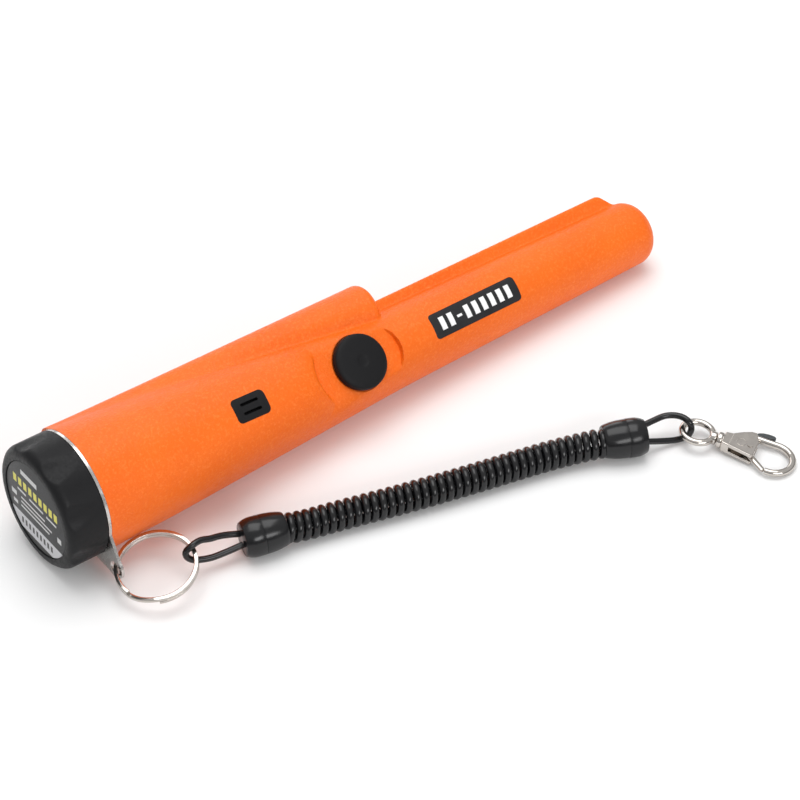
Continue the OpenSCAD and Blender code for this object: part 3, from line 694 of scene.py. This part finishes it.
BUTTON_PLACE = GRIP @ move(BUTTON_X, 0, 0) @ TO_BUTTON
GRILLE_PLACE = GRIP @ move(GRILLE_X, 0, 0) @ turn(-GRILLE_TURN, "X") @ TO_BUTTON
LAMP = PROBE @ move(HUMP_END, 0, HUMP_END_H) @ turn(math.degrees(HUMP_LEAN), "Y") @ move(0, 0, 4)


def cut(body, cutters):
    for tool in cutters:
        modifier = body.modifiers.new("cut", "BOOLEAN")
        modifier.operation = "DIFFERENCE"
        modifier.solver = "EXACT"
        modifier.object = tool
    graph = bpy.context.evaluated_depsgraph_get()
    mesh = bpy.data.meshes.new_from_object(body.evaluated_get(graph))
    body.modifiers.clear()
    body.data = mesh
    for tool in cutters:
        bpy.data.objects.remove(tool)
    mesh.shade_smooth()
    mesh.set_sharp_from_angle(angle=SHARP_CUT_EDGE)


shell = piece("shell_skin", *make_shell(), PROBE, "probe", "orange_plastic", ["probe_shell"])
cut(shell, [
    cutter("button_bore", *prism(circle(BUTTON_R + 0.3), PAD_FLOOR - 1.2, 22), BUTTON_PLACE),
    cutter("grille_bore", *prism(oval(GRILLE_L + 0.1, GRILLE_W + 0.1, 1.6), 12.2, 26), GRILLE_PLACE),
    cutter("label_bore", *bent_block(LABEL_L, LABEL_W, 1.2, 0.5, LABEL_X, 0.1), TUBE),
    cutter("lens_bore", *prism(circle(2.25, 40), -1.2, 3), LAMP @ turn(90, "Y")),
    cutter("lamp_bore", *prism(circle(1.6, 40), -6, -1), LAMP @ turn(90, "Y")),
])


# ---------- threaded neck, behind the shell's rim ----------

def make_neck():
    """The neck: two-start thread ridges, the seal's groove and the bay's bore, open at its ends."""
    outer = np.arange(4.4, 13.31, 0.18)
    steps = 160
    angles = np.linspace(0, 2 * math.pi, steps, endpoint=False)
    rows = []
    for x in outer:
        if x > 9.9:
            r = np.full(steps, 16.87 if 10.2 < x < 11.8 else 17.38)
        else:
            phase = (x / 4 - angles / (2 * math.pi)) * 2 % 1
            ridge = np.clip(1.6 - np.abs(phase - 0.5) * 6, 0, 1)
            r = 16.95 + 0.42 * ridge * min(1, (x - 4.4) / 0.6)
        rows.append((x, r))
    rows = [(56.0, np.full(steps, 15.5)), (4.6, np.full(steps, 15.6)),
            (4.4, np.full(steps, 15.8)), *rows]
    points = [(x, r * math.sin(a), r * math.cos(a))
              for x, radii in rows for r, a in zip(radii, angles)]
    return points, ring_faces(len(rows), steps)


piece("shell_neck", *make_neck(), PROBE, "probe", "orange_plastic")


# ---------- battery cap ----------

def make_cap():
    """The cap: an outline from the label's recess over the rim to the bore, with flutes cut in."""
    flutes, flute_r, bite, slope = 8, 13.0, 1.25, math.tan(math.radians(8))
    steps = 320
    outline = [(0.8, 0.02), (0.8, 6), (0.8, 12), (0.8, 15.2), (0.75, 15.38), (0.15, 15.4),
               (0.0, 15.55), (0.0, 16.0)]
    outline += [(CAP_ROUND * (1 - math.cos(a)), CAP_R - CAP_ROUND + CAP_ROUND * math.sin(a))
                for a in np.linspace(0.05, math.pi / 2, 22)]
    outline += [(x, CAP_R) for x in np.arange(3.4, 12.0, 0.35)]
    outline += [(12.1, CAP_R), (12.28, CAP_R - 0.18), (12.3, 18.6), (12.1, 18.42), (10.0, 18.4),
                (9.98, 17.5), (3.3, 17.45), (3.2, 17.3), (3.2, 8), (3.2, 0.02)]
    angles = np.linspace(0, 2 * math.pi, steps, endpoint=False)
    pitch = 2 * math.pi / flutes
    off = (angles % pitch) - pitch / 2
    points = []
    inner = False
    for x, r in outline:
        inner = inner or (x > 12 and r < 18.5)
        radii = np.full(steps, float(r))
        if not inner and r > 15.9:
            axis = CAP_R + flute_r - bite + x * slope
            beside = (axis * np.sin(off)).clip(-flute_r + 0.1, flute_r - 0.1)
            reach = axis * np.cos(off) - np.sqrt(flute_r ** 2 - beside ** 2)
            radii = np.clip(smooth_min(radii, reach, 0.5), 15.7, r)
        points += [(x, rr * math.sin(a), rr * math.cos(a)) for rr, a in zip(radii, angles)]
    return points, closed_rows(len(outline), steps)


piece("cap_shell", *make_cap(), PROBE, "cap", "black_plastic", ["battery_cap"])

label_disc = rounded([(-0.5, 0.02), (-0.5, 15.2), (0.0, 15.2), (0.0, 0.02)], 0.12)
piece("cap_disc", *turned(label_disc, 120), CAP_LABEL @ turn(-90, "Y"), "cap",
      "label_print", ["cap_label"], CAP_PRINT)


# ---------- label on the tube ----------

def make_side_label():
    """A thin sheet bent round the tube, with rounded corners and a rolled edge."""
    half_x, half_y, r = LABEL_L / 2, LABEL_W / 2, 1.2
    across, along = np.linspace(-1, 1, 25), np.linspace(-1, 1, 49)
    points = []
    columns = len(along) + 2
    for j in [0, *range(len(across)), len(across) - 1]:
        y = across[j] * half_y
        over = max(0.0, abs(y) - (half_y - r))
        reach = half_x - r + math.sqrt(max(0.0, r * r - over * over))
        for i in [0, *range(len(along)), len(along) - 1]:
            points.append([along[i] * reach, y, 0.0])
    rows = len(across) + 2
    points = np.array(points).reshape(rows, columns, 3)
    radius = body_radius(LABEL_X + points[..., 0])
    depth = np.full((rows, columns), 0.04)
    depth[0], depth[-1], depth[:, 0], depth[:, -1] = 0.44, 0.44, 0.44, 0.44
    depth[1:-1, 1], depth[1:-1, -2], depth[1, 1:-1], depth[-2, 1:-1] = 0.1, 0.1, 0.1, 0.1
    points[..., 2] = np.sqrt((radius - depth) ** 2 - points[..., 1] ** 2)
    faces = [(i * columns + j, i * columns + j + 1, (i + 1) * columns + j + 1, (i + 1) * columns + j)
             for i in range(rows - 1) for j in range(columns - 1)]
    return points.reshape(-1, 3), faces


piece("side_plate", *make_side_label(), SIDE_LABEL, "probe",
      "label_print", ["side_label"], SIDE_PRINT)


# ---------- power button ----------

BUTTON_PROFILE = [
    (10.4, 0.02), (10.4, 8.45), (10.6, 8.66), (11.9, 8.7), (12.35, 8.62), (12.7, 8.42), (12.98, 8.05),
    (13.2, 7.45), (13.36, 6.5), (13.5, 5.2), (13.61, 3.9), (13.68, 2.8), (13.7, 2.2), (13.67, 1.95),
    (13.56, 1.72), (13.44, 1.45), (13.37, 1.0), (13.35, 0.02),
]
piece("button_dome", *turned(BUTTON_PROFILE), BUTTON_PLACE @ turn(-90, "Y"), "button",
      "button_rubber", ["power_button"])


# ---------- split ring ----------

def make_split_ring():
    """Two turns of flat wire; the bar crosses from one turn to the other beside its ends."""
    start = math.radians(214)
    half_w, half_h, corner = RING_W / 2, RING_H / 4 - 0.012, 0.2
    section = oval(2 * half_w, 2 * half_h, corner, 3)
    turns = np.arange(24, 696.1, 3.0)
    points = []
    for degrees in turns:
        share = np.clip((degrees - 336) / 48, 0, 1)
        level = (share * share * (3 - 2 * share) - 0.5) * RING_H / 2
        a = start + math.radians(degrees)
        for out, up in section:
            points.append(((RING_R + out) * math.cos(a), (RING_R + out) * math.sin(a), level + up))
    return points, closed_rows(len(turns), len(section))


piece("split_ring_wire", *make_split_ring(), RING, "ring", "nickel", ["split_ring"])


# ---------- ferrules and cords ----------

FERRULE_PROFILE = [
    (0, 0.02), (0, 4.9), (0.12, 5.1), (1.3, 5.62), (2.5, 5.93), (3.4, 6.0), (5.6, 6.0), (5.72, 5.94),
    (5.78, 5.82), (5.9, 5.82), (5.96, 5.92), (6.1, 5.95), (8.2, 5.86), (10.2, 5.62), (12.0, 5.22),
    (12.9, 4.95), (13.15, 4.7), (13.2, 4.4), (13.2, 0.02),
]


def ferrule(name, at, degrees, flipped, node):
    place = BENCH @ move(*at) @ turn(degrees, "Z")
    profile = FERRULE_PROFILE
    if flipped:
        profile = [(FERRULE_L - x, r) for x, r in reversed(profile)]
    return piece(name, *turned(profile), place, "lanyard", "ferrule_black", [node])


def cord_piece(name, points, diameter, node):
    """A bevelled curve along points in mm, in the flat layout's frame."""
    curve = bpy.data.curves.new(name, "CURVE")
    curve.dimensions = "3D"
    curve.bevel_depth = diameter / 2 * MM
    curve.bevel_resolution = 4
    curve.use_fill_caps = True
    spline = curve.splines.new("POLY")
    spline.points.add(len(points) - 1)
    flat = np.column_stack([placed(points, BENCH), np.ones(len(points))])
    spline.points.foreach_set("co", flat.ravel())
    made = bpy.data.objects.new(name, curve)
    bpy.context.scene.collection.objects.link(made)
    curve.materials.append(MATERIALS["cord_black"])
    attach(made, "lanyard")
    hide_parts(node)
    return made


def make_helix():
    """The curly cord's own line: turns round the coil's route, drawn in at both ferrules."""
    line = catmull(COIL, 60)
    first, last = line[1] - line[0], line[-1] - line[-2]
    line = np.vstack([line[0] - first / np.linalg.norm(first) * 2, line,
                      line[-1] + last / np.linalg.norm(last) * 2])
    at = np.concatenate([[0], np.cumsum(np.linalg.norm(np.diff(line, axis=0), axis=1))])
    count = COIL_TURNS * 24
    where = np.linspace(0, at[-1], count + 1)
    centre = np.stack([np.interp(where, at, line[:, i]) for i in range(3)], -1)
    ahead = np.gradient(centre, axis=0)
    ahead /= np.linalg.norm(ahead, axis=1)[:, None]
    side = np.cross(ahead, (0, 0, 1.0))
    side /= np.linalg.norm(side, axis=1)[:, None]
    up = np.cross(side, ahead)
    a = np.linspace(0, 2 * math.pi * COIL_TURNS, count + 1)
    near_end = np.minimum(where, at[-1] - where) / 2.6
    radius = COIL_HELIX_R * (0.62 + 0.38 * np.clip(near_end, 0, 1))
    return centre + radius[:, None] * (np.cos(a)[:, None] * side + np.sin(a)[:, None] * up)


ferrule_a = ferrule("ferrule_ring_side", FERRULE_A, FERRULE_A_TURN, False, "ferrule_a")
ferrule_b = ferrule("ferrule_hook_side", FERRULE_B, FERRULE_B_TURN, True, "ferrule_b")
loop_a_line, loop_b_line, helix_line = catmull(LOOP_A, 8), catmull(LOOP_B, 8), make_helix()
loop_a = cord_piece("cord_loop_ring", loop_a_line, CORD_D, "lanyard_loop_a")
loop_b = cord_piece("cord_loop_hook", loop_b_line, CORD_D, "lanyard_loop_b")
curly = cord_piece("cord_curly", helix_line, COIL_WIRE_D, "lanyard_coil")


# ---------- snap hook ----------

def arc(centre, radius, start, end, steps):
    """Points of an arc in the hook's plane, from start to end degrees."""
    return [(centre[0] + radius * math.cos(a), centre[1] + radius * math.sin(a), 0.0)
            for a in np.radians(np.linspace(start, end, steps))]


def bevelled(name, outline, low, high, body, slot, bevel=0.35):
    """A plate of the hook with rounded edges, from a 2D outline."""
    made = piece(name, *prism(outline, low, high), HOOK, body, slot)
    modifier = made.modifiers.new("edges", "BEVEL")
    modifier.width = bevel * MM
    modifier.segments = 3
    modifier.limit_method = "ANGLE"
    modifier.angle_limit = math.radians(25)
    modifier.harden_normals = True
    return made


HOOK_PLATE = [
    (10.2, -2.9), (17.9, -4.3), (18.4, -3.8), (18.4, 2.6), (17.6, 4.6), (16.8, 6.3), (15.2, 6.2),
    (13.0, 5.0), (10.2, 3.0),
]
GATE_HUB = (16.4, 0.2)
LEVER = [
    (15.4, 1.2), (16.6, 1.4), (17.2, 4.0), (17.6, 6.3), (18.8, 6.9), (20.6, 7.0), (21.9, 7.3),
    (22.5, 7.9), (22.3, 8.5), (21.5, 8.8), (19.8, 8.8), (18.2, 8.5), (17.0, 7.9), (16.3, 7.1),
    (15.9, 6.2), (15.9, 4.0),
]

eye_route = [(4.75 * math.cos(a), 4.45 * math.sin(a), 0.0)
             for a in np.linspace(0, 2 * math.pi, 72, endpoint=False)]
hook_pieces = [
    piece("eye_ring", *swept(eye_route, 1.08, 20, True), HOOK, "eye", "nickel", ["swivel_eye"]),
    piece("eye_stud", *turned(rounded([
        (4.3, 0.02), (4.3, 2.0), (6.0, 2.0), (6.15, 1.1), (8.3, 1.1), (8.4, 1.7), (9.4, 1.7),
        (9.5, 0.02),
    ], 0.25), 48), HOOK, "eye", "nickel"),
    piece("hook_collar", *turned(rounded([
        (6.4, 1.2), (6.4, 2.35), (6.8, 2.5), (7.7, 2.5), (8.0, 2.2), (8.3, 2.2), (8.3, 1.2),
    ], 0.2), 48), HOOK, "hook", "nickel", ["hook_body"]),
    bevelled("hook_block", [(8.0, -2.5), (10.6, -3.0), (10.6, 3.0), (8.0, 2.5)], -1.9, 1.9,
             "hook", "nickel"),
    bevelled("hook_plate", HOOK_PLATE, 0.8, 1.9, "hook", "nickel"),
    bevelled("hook_back", HOOK_PLATE, -1.9, -0.8, "hook", "nickel"),
    bevelled("hook_wall", [
        (10.2, -3.0), (17.8, -4.4), (17.9, -3.7), (10.2, -2.3),
    ], 1.2, 2.15, "hook", "nickel", bevel=0.2),
    piece("hook_mark", *turned(rounded([(0, 1.55), (0.12, 1.55), (0.12, 1.3), (0, 1.3)], 0.05), 48),
          HOOK @ move(13.6, 0.3, 1.85) @ turn(-90, "Y"), "hook", "nickel"),
]
loop_route = [(15.4, 5.6, 0), (16.8, 5.6, 0), (18.5, 5.62, 0), (20.5, 5.6, 0), (22.4, 5.6, 0)]
loop_route += arc((24, -0.4), 6, 88, -90, 44)
loop_route += [(23.2, -6.45, 0)]
loop_width = np.interp(np.linspace(0, 1, len(loop_route)), [0, 0.25, 0.8, 1], [1.15, 1.15, 1.12, 1.0])
hook_pieces.append(piece("hook_loop", *swept(loop_route, loop_width, 20), HOOK, "hook", "nickel"))

gate_route = [(15.2, -0.6, 0), (16.4, -1.6, 0), (18.4, -3.2, 0), (20.6, -4.9, 0), (22.5, -6.35, 0),
              (22.9, -6.6, 0)]
gate_line = catmull(gate_route, 5)
gate_width = np.interp(np.linspace(0, 1, len(gate_line)), np.linspace(0, 1, len(gate_route)),
                       [0.85, 1.0, 1.0, 0.95, 0.9, 0.55])
hook_pieces += [
    piece("gate_bar", *swept(gate_line, gate_width, 16, flat=(1, 0.66)),
          HOOK, "gate", "nickel", ["hook_gate"]),
    bevelled("gate_hub", [(GATE_HUB[0] + x, GATE_HUB[1] + y) for x, y in circle(1.85, 32)],
             -0.65, 0.65, "gate", "nickel", bevel=0.15),
    bevelled("gate_lever", LEVER, -0.62, 0.62, "gate", "dark_lever", bevel=0.3),
]


# ---------- floor and lights ----------

def make_floor():
    mesh = bpy.data.meshes.new("floor")
    mesh.from_pydata([(-4, -4, 0), (4, -4, 0), (4, 4, 0), (-4, 4, 0)], [], [(0, 1, 2, 3)])
    floor = bpy.data.objects.new("floor", mesh)
    bpy.context.scene.collection.objects.link(floor)
    n = Nodes("floor_paper", 0.9)
    n.colour(n.mix(n.noise(40, 2), (0.90, 0.90, 0.90), (0.93, 0.93, 0.93)))
    mesh.materials.append(n.material)


def area_light(name, at, aim, width, height, watts):
    data = bpy.data.lights.new(name, "AREA")
    data.shape = "RECTANGLE"
    data.size, data.size_y = width, height
    data.energy = watts
    light = bpy.data.objects.new(name, data)
    bpy.context.scene.collection.objects.link(light)
    light.location = at
    light.rotation_euler = (Vector(aim) - Vector(at)).to_track_quat("-Z", "Y").to_euler()


WORLD_RISE = (0.05, 0.75, 0.4, 1.1)  # the room is dimmer at the horizon and bright overhead


def make_world(strength):
    world = bpy.data.worlds.new("studio")
    world.use_nodes = True
    tree = world.node_tree
    background = tree.nodes["Background"]
    background.inputs["Strength"].default_value = strength
    coords = tree.nodes.new("ShaderNodeTexCoord")
    split = tree.nodes.new("ShaderNodeSeparateXYZ")
    rise = tree.nodes.new("ShaderNodeMapRange")
    rise.interpolation_type = "SMOOTHSTEP"
    for socket, number in zip(("From Min", "From Max", "To Min", "To Max"), WORLD_RISE):
        rise.inputs[socket].default_value = number
    tree.links.new(coords.outputs["Generated"], split.inputs[0])
    tree.links.new(split.outputs["Z"], rise.inputs["Value"])
    tree.links.new(rise.outputs["Result"], background.inputs["Color"])
    bpy.context.scene.world = world


make_floor()
make_world(0.6)
area_light("key", (-0.15, -0.95, 0.50), (0, 0, 0.02), 0.7, 0.3, 3.8)
area_light("top", (0.1, 0.15, 1.1), (0, 0, 0), 0.9, 0.9, 7)
area_light("back", (0.3, 0.9, 0.35), (0, 0, 0.02), 0.9, 0.4, 2)
bpy.context.scene.view_settings.view_transform = "Standard"
